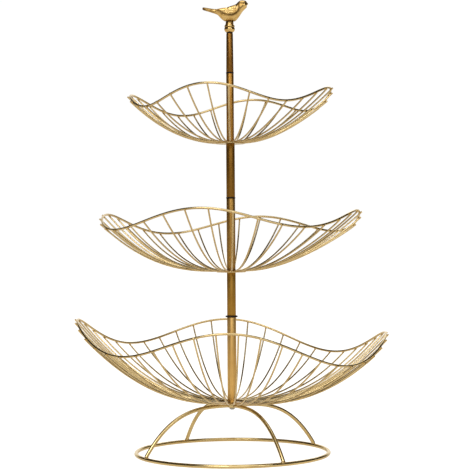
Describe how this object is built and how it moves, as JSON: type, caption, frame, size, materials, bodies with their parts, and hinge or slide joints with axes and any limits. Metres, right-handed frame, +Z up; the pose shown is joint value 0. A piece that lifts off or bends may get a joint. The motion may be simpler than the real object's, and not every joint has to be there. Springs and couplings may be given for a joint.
{
  "type": "tiered fruit basket",
  "caption": "Tiered fruit stand: open bowls of radial wire with wavy rims, stacked on a sectional pole over a ring base with bent legs and a bird finial.",
  "frame": {"origin": "on the floor at the centre of the base ring, below the pole", "axes": "+Z up along the pole, +X to the right towards the bird's beak, -Y towards the viewer"},
  "size_m": [0.3766, 0.3766, 0.5449],
  "materials": {
    "gold_wire": "satin pale gold plating on steel wire",
    "gold_base": "satin gold plating on thicker steel wire",
    "gold_pole": "darker satin gold on steel tube, with brown reflections",
    "gold_cast": "polished gold on a small casting",
    "black_rubber": "matt black",
    "steel": "grey zinc-plated steel"
  },
  "bodies": {
    "stand": {"base_ring": "gold_base", "base_leg_1": "gold_base", "base_leg_2": "gold_base", "base_leg_3": "gold_base", "base_leg_4": "gold_base", "base_boss": "gold_base", "base_screw": "steel", "pole_section_1": "gold_pole", "pole_section_2": "gold_pole", "pole_section_3": "gold_pole", "pole_section_4": "gold_pole", "pole_section_5": "gold_pole", "pole_section_6": "gold_pole", "pole_stud_1": "steel", "pole_stud_2": "steel", "pole_stud_3": "steel", "pole_stud_4": "steel", "pole_stud_5": "steel", "washer_low": "black_rubber", "washer_middle": "black_rubber", "washer_high": "black_rubber", "finial_stud": "steel"},
    "bottom_bowl": {"bottom_spokes": "gold_wire", "bottom_rim": "gold_wire"},
    "middle_bowl": {"middle_spokes": "gold_wire", "middle_rim": "gold_wire"},
    "top_bowl": {"top_spokes": "gold_wire", "top_rim": "gold_wire"},
    "finial_seat": {"washer_finial": "black_rubber"},
    "finial": {"finial_nut": "gold_cast", "finial_bird": "gold_cast"}
  },
  "joints": [
    {"name": "bottom_bowl_turn", "type": "hinge", "parent": "stand", "child": "bottom_bowl", "pos_m": [0, 0, 0.0628], "axis": [0, 0, 1], "continuous": true},
    {"name": "middle_bowl_turn", "type": "hinge", "parent": "stand", "child": "middle_bowl", "pos_m": [0, 0, 0.2197], "axis": [0, 0, 1], "continuous": true},
    {"name": "top_bowl_turn", "type": "hinge", "parent": "stand", "child": "top_bowl", "pos_m": [0, 0, 0.3738], "axis": [0, 0, 1], "continuous": true},
    {"name": "finial_turn", "type": "hinge", "parent": "stand", "child": "finial_seat", "pos_m": [0, 0, 0.5052], "axis": [0, 0, 1], "range_deg": [0, 2340]},
    {"name": "finial_rise", "type": "slide", "parent": "finial_seat", "child": "finial", "axis": [0, 0, 1], "range_m": [0, 0.0052]}
  ],
  "couplings": [
    {"joint": "finial_turn", "follows": "finial_rise", "rad_per_m": 7854}
  ]
}
